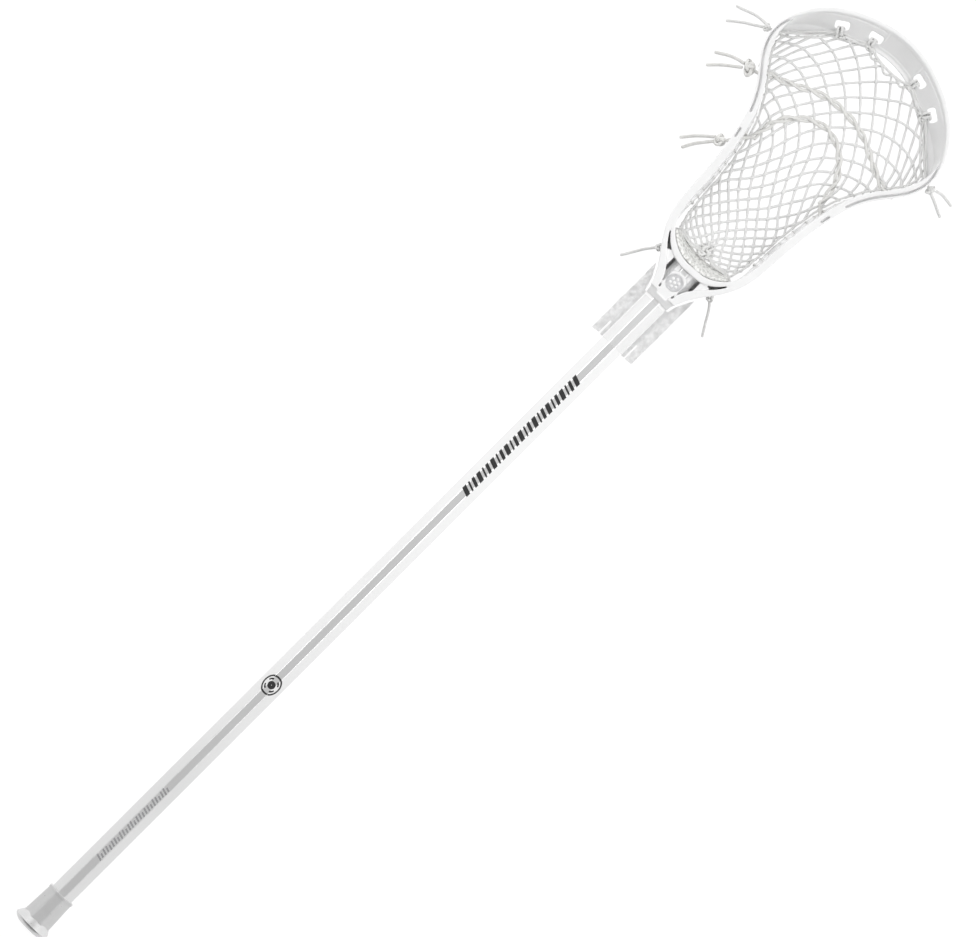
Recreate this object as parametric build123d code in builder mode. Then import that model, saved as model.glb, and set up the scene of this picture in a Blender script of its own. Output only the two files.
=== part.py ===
"""A lacrosse stick, lying on its back with the pocket open upwards.

Frame: +X runs from the butt to the scoop, +Z is up, out of the face of the head, and the origin is under
the middle of the stick, on the surface that it lies on. Head dimensions are measured from the socket's
mouth, where the shaft goes into the head.
"""
import os
from math import hypot, pi, radians, tan

from build123d import *

os.makedirs("parts", exist_ok=True)

# ---------------------------------------------------------------- driving dimensions, in millimetres
LENGTH = 1070.0                       # butt to scoop tip
HEAD_REACH = 312.0                    # socket mouth to scoop tip
MOUTH_X = LENGTH / 2 - HEAD_REACH     # where the socket's mouth stands on the stick
AXIS_Z = 18.0                         # the shaft's centre line above the surface

SHAFT_HALF = 11.0                     # octagonal tube: half its width across flats
SHAFT_FLAT = 3.45                     # half the width of the narrow flats
SHAFT_WALL = 1.3
SHAFT_EDGE = 1.2                      # rounding of the tube's long edges
SOCKET_DEPTH = 37.0                   # how far the shaft goes into the head

CAP_LENGTH = 41.0                     # rubber cap, mouth to butt
CAP_MOUTH_HALF = 12.6
CAP_NECK_HALF = 14.0
CAP_FLANGE_R = AXIS_Z                 # the flange is what the butt end lies on
CAP_FACE_R = 12.0                     # flat middle of the butt face
CAP_FLOOR = 8.0                       # rubber behind the shaft's end
CAP_CLEARANCE = 0.08

BEYOND = 300.0                        # for cutting tools: more than the head measures in any direction

HEAD_TOP = 40.0                       # scoop tip above the surface
RAIL_TOP = 34.5                       # top rail along the sides
WALL = 3.5
TOP_RAIL = (7.5, 7.0)                 # width and height of the top rail
BOTTOM_RAIL = 6.0                     # width of the bottom rail
SIDE_LEAN = 6.0                       # how far the sidewalls lean in, top to bottom, at the waist
FLARE_LEAN = 2.0                      # and in the flare
SCOOP_LEAN = 28.0                     # and at the scoop
SCOOP_FOOT = 13.0                     # the scoop's lower edge above the surface
STRUT = (9.5, 6.5, 5.0)               # width of the throat's outer struts: at the mouth, midway, at the wall
STOP_WALL = 6.0                       # thickness of the ball stop's wall
SOCKET_WALL = 2.0
BADGE_X = 23.5                        # centre of the round inset in the throat plate
BADGE_R = 7.5
BADGE_DEPTH = 1.6
BADGE_LIP = (0.9, 0.4)                # its raised rim: width, and height above and below the plate's face
PLATE_TOP = 32.4                      # the throat plate's face, a little under the struts
BOSS_R = 10.3                         # round boss of the plate, about the inset
TRENCH_Z = 28.5                       # floor of the trench between the boss and the ball stop

LACE = 3.0                            # shooting laces
CORD = 2.6                            # top, sidewall and bottom strings

# Half of the head's outer edge, seen from the face: distance from the socket's mouth, half width
HEAD_EDGE = [(2, 13.0), (17, 18.0), (36, 30.5), (51, 40.3), (68, 46.6), (92, 49.5), (122, 51.8), (156, 57),
             (177, 62.8), (197, 74), (213, 86.5), (228, 93.8), (245, 94.8), (264, 88), (282, 74.8),
             (295, 58.2), (306, 34), (HEAD_REACH, 0)]
# Half of the ball stop's inner face, from its middle out to the sidewall
STOP_EDGE = [(43.5, 0), (44.6, 13), (48.2, 21.8), (56.5, 32)]
WAIST_START = 75                      # from here on the inner edge follows the outer one

HEAD = Plane(origin=(MOUTH_X, 0, 0))
HEAD_SIDE = Plane(origin=(MOUTH_X, 0, 0), x_dir=(1, 0, 0), z_dir=(0, -1, 0))


def across(x):
    """The plane across the stick at x, with its own x along +Y and its own y up, centred on the shaft."""
    return Plane(origin=(x, 0, AXIS_Z), x_dir=(0, 1, 0), z_dir=(1, 0, 0))


def octagon(half, flat):
    """Corners of an octagon with narrow flats of half width flat, half off its centre."""
    corner = [(half, flat), (flat, half)]
    quarter = corner + [(-y, x) for x, y in corner]
    return quarter + [(-x, -y) for x, y in quarter]


def octagon_prism(start, length, half, flat, rounding, mode=Mode.ADD):
    """Octagonal bar along the stick, added to the part being built."""
    with BuildSketch(across(start)) as section:
        with BuildLine():
            Polyline(*octagon(half, flat), close=True)
        make_face()
        fillet(vertices(), rounding)
    extrude(section.sketch, amount=length, mode=mode)


def blend(x, start, end):
    """0 before start, 1 after end, and a smooth step between them."""
    t = min(max((x - start) / (end - start), 0), 1)
    return t * t * (3 - 2 * t)


def lean(x, height=0.0):
    """How far the wall stands inside its top edge, at a station along the head and a height."""
    foot = SIDE_LEAN + (FLARE_LEAN - SIDE_LEAN) * blend(x, 140, 195) + (
        SCOOP_LEAN - FLARE_LEAN) * blend(x, 236, 300)
    return foot * (HEAD_TOP - height) / HEAD_TOP


def shifted(edge, amount):
    """An edge that runs from the head's mouth side to its centre line, moved inwards by amount(station)."""
    result = []
    for i, (x, y) in enumerate(edge):
        before = edge[max(i - 1, 0)]
        after = edge[min(i + 1, len(edge) - 1)]
        run = hypot(after[0] - before[0], after[1] - before[1])
        side = ((after[1] - before[1]) / run, (before[0] - after[0]) / run)
        if x == HEAD_REACH:
            side = (-1, 0)
        result.append((x + side[0] * amount(x), y + side[1] * amount(x)))
    return result


def stop_edge(amount):
    """The ball stop's inner face, moved towards the shaft by amount, and by less where it meets the sides."""
    share = (1, 1, 0.9, 0.6)
    side = ((-1, 0), (-0.98, 0.2), (-0.85, 0.5), (-0.7, 0.7))
    return [(x + s * amount * nx, y + s * amount * ny) for (x, y), s, (nx, ny) in zip(STOP_EDGE, share, side)]


def mirrored(points):
    """The other half of an edge that ends on the centre line, from there back to its start."""
    return [(x, -y) for x, y in reversed(points[:-1])]


def outer_face(height, amount):
    """Area inside the head's outer edge at a height, the edge moved in by amount(station)."""
    points = shifted(HEAD_EDGE, amount)
    points[0] = (HEAD_EDGE[0][0], HEAD_EDGE[0][1] - min(amount(0), 2))
    with BuildSketch(HEAD.offset(height)) as face:
        with BuildLine():
            Spline(*points, *mirrored(points))
            Line((points[0][0], -points[0][1]), points[0])
        make_face()
    return face.sketch


def inner_face(height, amount, stop=0.0):
    """Area inside the head's inner edge: the ball stop moved by stop, the sides inset by amount(station)."""
    sides = [point for point, at in zip(shifted(HEAD_EDGE, amount), HEAD_EDGE) if at[0] >= WAIST_START]
    points = stop_edge(stop) + sides
    with BuildSketch(HEAD.offset(height)) as face:
        with BuildLine():
            Spline(*points, *mirrored(points)[:-1], periodic=True)
        make_face()
    return face.sketch


def side_band(top, bottom):
    """Solid right across the head between two edges, given in side view as lists of points."""
    with BuildPart(mode=Mode.PRIVATE) as band:
        with BuildSketch(HEAD_SIDE):
            with BuildLine():
                Spline(*top)
                Spline(*bottom)
                Line(top[0], bottom[0])
                Line(top[-1], bottom[-1])
            make_face()
        extrude(amount=BEYOND, both=True)
    return band.part


def raised(edge, dz):
    """An edge given in side view, moved up by dz."""
    return [(x, z + dz) for x, z in edge]


def opposite(edge):
    """The other side of an edge given from the face, from its end back to its start."""
    return [(x, -y) for x, y in reversed(edge)]


def top_rail_inset(x):
    """How far the top rail reaches in from the head's edge: it narrows to the wall at the scoop."""
    return TOP_RAIL[0] - (TOP_RAIL[0] - WALL) * blend(x, 225, 262)


def bottom_rail_inset(x):
    """How far the bottom rail reaches in from the head's edge: it follows the wall's lean."""
    foot = SCOOP_FOOT * blend(x, 240, 300)
    return lean(x, foot) + BOTTOM_RAIL - 1.5 * blend(x, 250, 300)


def strut_width(x):
    """Width of the throat's outer struts at a station along the head."""
    mouth, middle, wall = STRUT
    return mouth + (middle - mouth) * blend(x, 8, 32) + (wall - middle) * blend(x, 36, 60)


# ---------------------------------------------------------------- shaft
shaft_start = -LENGTH / 2 + CAP_FLOOR
shaft_length = MOUTH_X + SOCKET_DEPTH - shaft_start
screw_x = MOUTH_X + 22                # the head's fixing screw, in the back of the socket
SCREW_R = 2.0
COUNTERBORE_R = 4.2

with BuildPart() as shaft:
    octagon_prism(shaft_start, shaft_length, SHAFT_HALF, SHAFT_FLAT, SHAFT_EDGE)
    octagon_prism(shaft_start, shaft_length, SHAFT_HALF - SHAFT_WALL, SHAFT_FLAT - SHAFT_WALL / 2, 0.5,
                  mode=Mode.SUBTRACT)
    with BuildSketch(Plane.XY):
        with Locations((screw_x, 0)):
            Circle(SCREW_R + 0.1)
    extrude(amount=AXIS_Z, mode=Mode.SUBTRACT)
shaft.part.label = "shaft"
export_step(shaft.part, "parts/shaft.step")

# ---------------------------------------------------------------- end cap
cap_mouth_x = -LENGTH / 2 + CAP_LENGTH
cap_flat = SHAFT_FLAT + 1.2
CAP_NECK_X = -LENGTH / 2 + 10.5       # where the flared end starts
CAP_LIP = (2.2, 1.6, 0.7)             # raised lip near the mouth: distance from it, width, height
# The flared end's profile: distance from the butt and radius
flare = [Vector(-LENGTH / 2 + x, AXIS_Z + r)
         for x, r in ((0, CAP_FACE_R), (1.6, 15.6), (4.5, CAP_FLANGE_R), (6.7, 16.6), (11.5, 13.6))]

with BuildPart() as end_cap:
    for x, half, flat, rounding in ((cap_mouth_x, CAP_MOUTH_HALF, cap_flat, 2.0),
                                    (CAP_NECK_X, CAP_NECK_HALF, cap_flat + 0.4, 2.6)):
        with BuildSketch(across(x)):
            with BuildLine():
                Polyline(*octagon(half, flat), close=True)
            make_face()
            fillet(vertices(), rounding)
    loft()
    with BuildSketch(Plane.XZ):
        with BuildLine():
            ThreePointArc(*flare[:3])
            ThreePointArc(*flare[2:])
            Polyline(flare[-1], (flare[-1].X, AXIS_Z), (flare[0].X, AXIS_Z), flare[0])
        make_face()
    revolve(axis=Axis((0, 0, AXIS_Z), (1, 0, 0)))
    octagon_prism(cap_mouth_x - CAP_LIP[0], CAP_LIP[1], CAP_MOUTH_HALF + CAP_LIP[2], cap_flat + 0.2, 2.4)
    octagon_prism(shaft_start, CAP_LENGTH, SHAFT_HALF + CAP_CLEARANCE, SHAFT_FLAT, SHAFT_EDGE,
                  mode=Mode.SUBTRACT)
end_cap.part.label = "end_cap"
export_step(end_cap.part, "parts/end_cap.step")

# ---------------------------------------------------------------- head frame
BASE, CREST = -1.0, HEAD_TOP + 1      # the lofts start just under the head, and end just over it
SCOOP_WALL = 4.8                      # the scoop's wall is thicker at its foot, where the strings hold

top_edge = [(-2, 34.0), (60, RAIL_TOP), (150, RAIL_TOP - 1), (232, RAIL_TOP + 1.5), (HEAD_REACH + 3, HEAD_TOP)]
foot_edge = [(-2, 4.0), (62, 0.0), (150, 1.6), (228, 0.0), (262, 5.0), (286, 12.0), (HEAD_REACH + 3, 14.5)]
rail_crest = [(-2, 15.0), (62, 11.0), (150, 12.6), (228, 11.0), (255, 13.0), (286, 16.5), (HEAD_REACH + 3, 19.0)]

windows = [(80, 102), (108, 130), (136, 158), (164, 183), (189, 206), (212, 228)]
WINDOW_SILL, WINDOW_HEAD = 12.5, 27.0
WINDOW_SLANT = 3.0

# String holes in the scoop's wall, half of them: place and turn about +Z
scoop_holes = [(294.2, 26.5, 14), (281.5, 54.5, 33)]
SCOOP_HOLE = (6.5, 12.5)

GROOVE = (1.7, 3.7, 4.0)              # the rim's groove: from, to, depth
groove_stretches = [(148, 157), (172, 303)]


def wall_foot_inset(x):
    """How far the wall's inner face stands inside the head's edge, under the head."""
    return lean(x, BASE) + WALL + (SCOOP_WALL - WALL) * blend(x, 250, 300)


def wall_crest_inset(x):
    """And over the head."""
    return lean(x, CREST) + WALL


with BuildPart() as outer_block:
    add(loft([outer_face(BASE, lambda x: lean(x, BASE)), outer_face(CREST, lambda x: lean(x, CREST))],
             ruled=True))

with BuildPart() as wall_hollow:
    add(loft([inner_face(BASE, wall_foot_inset), inner_face(CREST, wall_crest_inset)], ruled=True))

with BuildPart() as top_rail:
    add(outer_block.part)
    add(loft([inner_face(BASE, lambda x: lean(x, BASE) + top_rail_inset(x)),
              inner_face(CREST, lambda x: lean(x, CREST) + top_rail_inset(x))], ruled=True),
        mode=Mode.SUBTRACT)
    add(side_band(raised(top_edge, 2), raised(top_edge, -TOP_RAIL[1])), mode=Mode.INTERSECT)

with BuildPart() as bottom_rail:
    add(outer_block.part)
    extrude(inner_face(BASE, bottom_rail_inset), amount=CREST - BASE, mode=Mode.SUBTRACT)
    add(side_band(rail_crest, raised(foot_edge, -2)), mode=Mode.INTERSECT)

SLOT_START = 12.0                     # the slots beside the plate start here
# Half of the throat plate, and half of its lowered face, seen from the face of the head
PLATE_EDGE = [(-2, 20), (SLOT_START - 0.5, 20), (SLOT_START, 6.1), (17, 8.2), (39, 8.6)]
RELIEF_EDGE = [(7, 5.5), (SLOT_START, 6.6), (17, 8.8), (41, 8.8)]
WEB_EDGE = [(27.5, 15.8), (40, 15.8), (41, 24), (36, 25)]     # web from the ball stop to a strut
WEB_DROP, WEB_HEIGHT = 5.5, 4.0       # the web's underside below the rail's top, and its height
CAVITY_FLOOR = 7.0                    # top of the throat's floor
CAVITY_END = 74.0
CONE_R = (11.6, 17.5)                 # the socket's mouth is a cone: radius inside and outside
CONE_X = (1.5, 9.0)                   # and where it starts and ends

with BuildPart() as throat_core:      # what stands inside the throat's cavity
    with BuildSketch(HEAD.offset(AXIS_Z)):
        with BuildLine():
            Polyline(*PLATE_EDGE, *opposite(PLATE_EDGE), close=True)
        make_face()
    extrude(amount=CREST - AXIS_Z)
    with BuildSketch(HEAD.offset(RAIL_TOP - WEB_DROP)):
        for edge in (WEB_EDGE, opposite(WEB_EDGE)):
            with BuildLine():
                Polyline(*edge, close=True)
            make_face()
    extrude(amount=WEB_HEIGHT)
    octagon_prism(MOUTH_X, SOCKET_DEPTH + 3, SHAFT_HALF + SOCKET_WALL, SHAFT_FLAT + SOCKET_WALL / 2, 1.5)

with BuildPart() as throat_cavity:
    extrude(outer_face(CAVITY_FLOOR, strut_width), amount=CREST)
    extrude(inner_face(CAVITY_FLOOR, wall_crest_inset, stop=STOP_WALL), amount=CREST, mode=Mode.SUBTRACT)
    with Locations((MOUTH_X + CAVITY_END, 0, 0)):
        Box(BEYOND, BEYOND, BEYOND, align=(Align.MIN, Align.CENTER, Align.CENTER), mode=Mode.SUBTRACT)
    add(throat_core.part, mode=Mode.SUBTRACT)

with BuildPart() as plate_relief:     # lowers the plate, and the trench behind its boss further
    with BuildSketch(HEAD.offset(PLATE_TOP)):
        with BuildLine():
            Polyline(*RELIEF_EDGE, *opposite(RELIEF_EDGE), close=True)
        make_face()
        with Locations((BADGE_X, 0)):
            Circle(BOSS_R)
    extrude(amount=CREST - PLATE_TOP)
    with BuildSketch(HEAD.offset(TRENCH_Z)):
        with Locations(((BADGE_X + RELIEF_EDGE[-1][0]) / 2, 0)):
            Rectangle(RELIEF_EDGE[-1][0] - BADGE_X, 2 * BOSS_R)
        with Locations((BADGE_X, 0)):
            Circle(BOSS_R, mode=Mode.SUBTRACT)
    extrude(amount=CREST - TRENCH_Z)
    extrude(inner_face(0, wall_crest_inset, stop=STOP_WALL), amount=CREST, mode=Mode.SUBTRACT)

PANEL_HALF, PANEL_DEPTH = 20.0, 0.9
PANEL_SPAN = (19.0, 36.5)             # heights of the panel's lower and upper edge

with BuildPart() as scoop_panel:      # shallow panel in the middle of the scoop's inner face
    add(loft([inner_face(BASE, lambda x: wall_foot_inset(x) - PANEL_DEPTH),
              inner_face(CREST, lambda x: wall_crest_inset(x) - PANEL_DEPTH)], ruled=True))
    with Locations((MOUTH_X + HEAD_REACH, 0, sum(PANEL_SPAN) / 2)):
        Box(BEYOND, 2 * PANEL_HALF, PANEL_SPAN[1] - PANEL_SPAN[0], mode=Mode.INTERSECT)

with BuildPart() as rim_groove:
    extrude(outer_face(BASE, lambda x: GROOVE[0] + lean(x, RAIL_TOP)), amount=CREST + 5)
    extrude(outer_face(BASE, lambda x: GROOVE[1] + lean(x, RAIL_TOP)), amount=CREST + 5, mode=Mode.SUBTRACT)
    add(side_band(raised(top_edge, 3), raised(top_edge, -GROOVE[2])), mode=Mode.INTERSECT)
    with BuildPart(mode=Mode.INTERSECT):
        for start, end in groove_stretches:
            with Locations((MOUTH_X + (start + end) / 2, 0, 0)):
                Box(end - start, BEYOND, BEYOND)

with BuildPart() as head_frame:
    add(outer_block.part)
    add(wall_hollow.part, mode=Mode.SUBTRACT)
    with BuildSketch(HEAD_SIDE):      # windows through both sidewalls
        for start, end in windows:
            with BuildLine():
                Polyline((start, WINDOW_SILL), (end - WINDOW_SLANT, WINDOW_SILL), (end, WINDOW_HEAD),
                         (start + WINDOW_SLANT, WINDOW_HEAD), close=True)
            make_face()
        fillet(vertices(), 2.5)
    extrude(amount=BEYOND, both=True, mode=Mode.SUBTRACT)
    add(top_rail.part)
    add(bottom_rail.part)
    add(side_band(top_edge, foot_edge), mode=Mode.INTERSECT)
    add(throat_cavity.part, mode=Mode.SUBTRACT)
    add(plate_relief.part, mode=Mode.SUBTRACT)
    add(rim_groove.part, mode=Mode.SUBTRACT)
    add(scoop_panel.part, mode=Mode.SUBTRACT)
    with BuildSketch(Plane(origin=(MOUTH_X, 0, AXIS_Z), x_dir=(1, 0, 0), z_dir=(0, -1, 0))):
        with BuildLine():
            Polyline((-5, CONE_R[0]), (-5, HEAD_TOP), (CONE_X[1], HEAD_TOP), (CONE_X[1], CONE_R[1]),
                     (CONE_X[0], CONE_R[0]), close=True)
        make_face()
    revolve(axis=Axis((0, 0, AXIS_Z), (1, 0, 0)), mode=Mode.SUBTRACT)
    octagon_prism(MOUTH_X - 1, SOCKET_DEPTH + 1, SHAFT_HALF + 0.05, SHAFT_FLAT, SHAFT_EDGE, mode=Mode.SUBTRACT)
    for x, y, turn in scoop_holes:
        for side in (1, -1):
            with BuildSketch(HEAD):
                with Locations(Location((x, y * side), turn * side)):
                    RectangleRounded(*SCOOP_HOLE, 2.0)
            extrude(amount=CREST, mode=Mode.SUBTRACT)
    with BuildSketch(Plane.XY):       # counterbore and hole for the fixing screw
        with Locations((screw_x, 0)):
            Circle(COUNTERBORE_R)
    extrude(amount=AXIS_Z - SHAFT_HALF - SOCKET_WALL, mode=Mode.SUBTRACT)
    with BuildSketch(Plane.XY):
        with Locations((screw_x, 0)):
            Circle(SCREW_R + 0.1)
    extrude(amount=AXIS_Z, mode=Mode.SUBTRACT)
    with BuildSketch(HEAD.offset(PLATE_TOP - BADGE_DEPTH)):
        with Locations((BADGE_X, 0)):
            Circle(BADGE_R + 0.1)
    extrude(amount=CREST - PLATE_TOP, mode=Mode.SUBTRACT)
head_frame.part.label = "head_frame"
export_step(head_frame.part, "parts/head_frame.step")

# ---------------------------------------------------------------- throat badge and fixing screw
with BuildPart() as throat_badge:
    with BuildSketch(HEAD.offset(PLATE_TOP - BADGE_DEPTH)):
        with Locations((BADGE_X, 0)):
            Circle(BADGE_R)
    extrude(amount=BADGE_DEPTH - BADGE_LIP[1])
    with BuildSketch(HEAD.offset(PLATE_TOP - BADGE_DEPTH)):
        with Locations((BADGE_X, 0)):
            Circle(BADGE_R)
            Circle(BADGE_R - BADGE_LIP[0], mode=Mode.SUBTRACT)
    extrude(amount=BADGE_DEPTH + BADGE_LIP[1])
    fillet(throat_badge.edges().group_by(Axis.Z)[-1], 0.3)
throat_badge.part.label = "throat_badge"
export_step(throat_badge.part, "parts/throat_badge.step")

seat_z = AXIS_Z - SHAFT_HALF - SOCKET_WALL
SCREW_HEAD = (4.0, 2.0)               # radius and height
SCREW_LENGTH = 5.5                    # of its threaded part
SCREW_CROSS = (4.4, 1.0, 1.2)         # the cross in its head: length, width and depth

with BuildPart() as head_screw:
    with BuildSketch(Plane.XY.offset(seat_z - SCREW_HEAD[1])):
        with Locations((screw_x, 0)):
            Circle(SCREW_HEAD[0])
    extrude(amount=SCREW_HEAD[1])
    fillet(head_screw.edges().group_by(Axis.Z)[0], 1.0)
    with BuildSketch(Plane.XY.offset(seat_z)):
        with Locations((screw_x, 0)):
            Circle(SCREW_R)
    extrude(amount=SCREW_LENGTH)
    with BuildSketch(Plane.XY.offset(seat_z - SCREW_HEAD[1])):
        with Locations((screw_x, 0)):
            Rectangle(SCREW_CROSS[0], SCREW_CROSS[1])
            Rectangle(SCREW_CROSS[1], SCREW_CROSS[0])
    extrude(amount=SCREW_CROSS[2], mode=Mode.SUBTRACT)
head_screw.part.label = "head_screw"
export_step(head_screw.part, "parts/head_screw.step")

# ---------------------------------------------------------------- ball stop pad
PAD_FOOT, PAD_CREST = (7.0, 12.5), (31.0, 3.0)       # height and thickness: the pad is a ramp into the pocket
PAD_GAP = 0.4

with BuildPart() as ball_stop_pad:
    for height, thickness in (PAD_FOOT, PAD_CREST):
        back = list(reversed(stop_edge(-PAD_GAP)))
        front = list(reversed(stop_edge(-PAD_GAP - thickness)))
        with BuildSketch(HEAD.offset(height)):
            with BuildLine():
                Spline(*back, *mirrored(back))
                Spline(*front, *mirrored(front))
                Line(back[0], front[0])
                Line(mirrored(back)[-1], mirrored(front)[-1])
            make_face()
    loft(ruled=True)
ball_stop_pad.part.label = "ball_stop_pad"
export_step(ball_stop_pad.part, "parts/ball_stop_pad.step")

# ---------------------------------------------------------------- mesh pocket, as a thin dish
POCKET_RIM, POCKET_FLOOR = 11.0, 2.2
POCKET_SKIN = 2.0
POCKET_SLOPE = 16.0                   # how far in from its rim the dish reaches its floor
POCKET_GAP = 1.8                      # between the rim and the bottom rail
POCKET_START = (30.0, 15.5)           # from the ball stop to the dish's floor, and to its rim


def dish(floor, rim):
    """Solid between the pocket's floor and its rim, at the given heights."""
    def rim_inset(x):
        return bottom_rail_inset(x) + POCKET_GAP
    return loft([inner_face(floor, lambda x: rim_inset(x) + POCKET_SLOPE, stop=-POCKET_START[0]),
                 inner_face(rim, rim_inset, stop=-POCKET_START[1])], ruled=True)


with BuildPart() as mesh_pocket:
    add(dish(POCKET_FLOOR, POCKET_RIM))
    add(dish(POCKET_FLOOR + POCKET_SKIN, POCKET_RIM + POCKET_SKIN), mode=Mode.SUBTRACT)
mesh_pocket.part.label = "mesh_pocket"
export_step(mesh_pocket.part, "parts/mesh_pocket.step")


# ---------------------------------------------------------------- strings and laces
def tube(points, diameter):
    """Round cord along straight runs joined by arcs as large as the runs allow; prints its radii."""
    corners = [Vector(MOUTH_X + x, y, z) for x, y, z in points]
    runs = [b - a for a, b in zip(corners, corners[1:])]
    radii = []
    for run, after in zip(runs, runs[1:]):
        half_turn = radians(run.get_angle(after)) / 2
        radii.append(0.45 * min(run.length, after.length) / tan(half_turn))
    with BuildPart(mode=Mode.PRIVATE) as cord:
        with BuildLine() as path:
            FilletPolyline(*corners, radius=radii)
        line = path.wires()[0]
        with BuildSketch(Plane(origin=line @ 0, z_dir=line % 0)) as section:
            Circle(diameter / 2)
        sweep(section.sketch, path=line)
    expected = pi * diameter ** 2 / 4 * line.length
    print("   length %.1f smallest radius %.1f volume ratio %.3f" % (
        line.length, min(radii), cord.part.volume / expected))
    return cord.part


def along_edge(inset, first, last, height):
    """Points inside the head's edge, between two of its stations."""
    moved = shifted(HEAD_EDGE, inset)
    return [(x, y, height) for (x, y), at in zip(moved, HEAD_EDGE) if first <= at[0] <= last]


def other_side(points):
    """The same points on the other side of the head."""
    return [(x, -y, z) for x, y, z in points]


STRING_Z = (13.6, 14.4)               # height of the sidewall strings and of the top string
STRING_GAP = (2.4, 3.0)               # and how far inside the bottom rail they run
side_points = along_edge(lambda x: bottom_rail_inset(x) + STRING_GAP[0], 68, 228, STRING_Z[0])
top_half = along_edge(lambda x: bottom_rail_inset(x) + STRING_GAP[1], 245, HEAD_REACH, STRING_Z[1])
straight_half = [(209, 66, 15), (221, 44, 12), (229, 22, 10)]
u_half = [(161, 40.5, 14.5), (184, 35, 12), (203, 21, 10)]
bottom_half = [(61.5, 26, 12.8), (59, 13, 12.6)]

inner_strings = {
    "left_sidewall_string": (side_points, CORD),
    "right_sidewall_string": (other_side(side_points), CORD),
    "top_string": (top_half + other_side(reversed(top_half[:-1])), CORD),
    "bottom_string": (bottom_half + [(60.5, 0, 12.4)] + other_side(reversed(bottom_half)), CORD),
    "straight_shooting_string": (straight_half + [(232, 0, 9.5)] + other_side(reversed(straight_half)), LACE),
    "u_shooting_string": (u_half + [(211, 0, 9.5)] + other_side(reversed(u_half)), LACE),
}

# Free ends: each leaves a knot or a hole in the head and falls to the surface beside it
tails = {
    "bottom_string_tail_left": ([(35.5, 31.5, 21), (29, 37.5, 16), (20, 43, 7.5), (9.4, 49.5, 1.4)], CORD),
    "bottom_string_tail_right": ([(35.5, -31.5, 21), (29, -37.5, 15), (20, -42.5, 7), (9.4, -49.5, 1.4)], CORD),
    "u_shooter_tail_a": ([(133, 62.5, 21), (127.5, 67.5, 15), (120.5, 73.5, 6.5), (112, 78, 1.6)], LACE),
    "u_shooter_tail_b": ([(137, 64, 22), (131, 71.5, 16), (124.5, 79, 6.5), (117, 85, 1.6)], LACE),
    "straight_shooter_tail_a": ([(195, 90, 22), (190, 97.5, 16), (184, 106, 7), (177, 113, 1.6)], LACE),
    "straight_shooter_tail_b": ([(199, 91, 22), (198, 99, 15), (194.5, 108, 6.5), (190, 115.5, 1.6)], LACE),
    "top_string_tail_left_a": ([(232.5, 101, 25), (227.5, 110, 18), (222.5, 119.5, 8), (216, 128, 1.4)], CORD),
    "top_string_tail_left_b": ([(236, 101.5, 25), (236.5, 111.5, 18), (233.5, 121.5, 7.5), (231, 130.5, 1.4)],
                               CORD),
    "top_string_tail_right_a": ([(233, -101, 25), (231.5, -107, 17), (229, -114, 8), (226.5, -121, 1.4)], CORD),
    "top_string_tail_right_b": ([(237, -101, 25), (240, -107, 17), (240.5, -114, 8), (240, -121, 1.4)], CORD),
}

for name, (points, diameter) in {**inner_strings, **tails}.items():
    print(name)
    with BuildPart() as string:
        add(tube(points, diameter))
    string.part.label = name
    export_step(string.part, "parts/" + name + ".step")

# Knots outside the sidewalls: place and radius
knots = {
    "u_shooter_knot": ((137.5, 58.8, 25), 4.6),
    "straight_shooter_knot": ((199, 84.8, 25), 4.6),
    "left_top_string_knot": ((234, 98.6, 27), 2.8),
    "right_top_string_knot": ((234.5, -98.6, 27), 2.8),
}
for name, ((x, y, z), radius) in knots.items():
    with BuildPart() as knot:
        with Locations((MOUTH_X + x, y, z)):
            Sphere(radius)
    knot.part.label = name
    export_step(knot.part, "parts/" + name + ".step")

# ---------------------------------------------------------------- film sleeve round the neck
SLEEVE_START, SLEEVE_END = -52.0, 25.0
SLEEVE_HALF = 23.5
FILM = 0.5
SLIT = (15.0, 1.2, 15.3)              # length, width, distance from the centre line

with BuildPart() as neck_sleeve:
    with BuildSketch(HEAD.offset(AXIS_Z - FILM / 2)):
        with BuildLine():
            Polyline((SLEEVE_START, -SLEEVE_HALF), (SLEEVE_START, SLEEVE_HALF), (SLEEVE_END, SLEEVE_HALF),
                     (SLEEVE_END, -SLEEVE_HALF), close=True)
        make_face()
        for side in (1, -1):
            with Locations((SLEEVE_START + SLIT[0] / 2, side * SLIT[2])):
                Rectangle(SLIT[0], SLIT[1], mode=Mode.SUBTRACT)
    extrude(amount=FILM)
    extrude(outer_face(0, lambda x: -0.5), amount=2 * AXIS_Z, mode=Mode.SUBTRACT)
    octagon_prism(MOUTH_X + SLEEVE_START, -SLEEVE_START - 0.5, SHAFT_HALF + FILM + 0.05, SHAFT_FLAT + 0.2,
                  SHAFT_EDGE)
    octagon_prism(MOUTH_X + SLEEVE_START, -SLEEVE_START + 5, SHAFT_HALF + 0.05, SHAFT_FLAT, SHAFT_EDGE,
                  mode=Mode.SUBTRACT)
neck_sleeve.part.label = "neck_sleeve"
export_step(neck_sleeve.part, "parts/neck_sleeve.step")
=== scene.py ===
"""Looks of a lacrosse stick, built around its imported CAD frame, in metres.

The stick lies on its back along X, its pocket open upwards. Places on the head are given as it is measured on
the bench: station from the socket's mouth, y and z, in millimetres; at() turns them into metres in the frame.
"""
import math

import bmesh
import bpy
from mathutils import Matrix, Vector, noise


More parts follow.
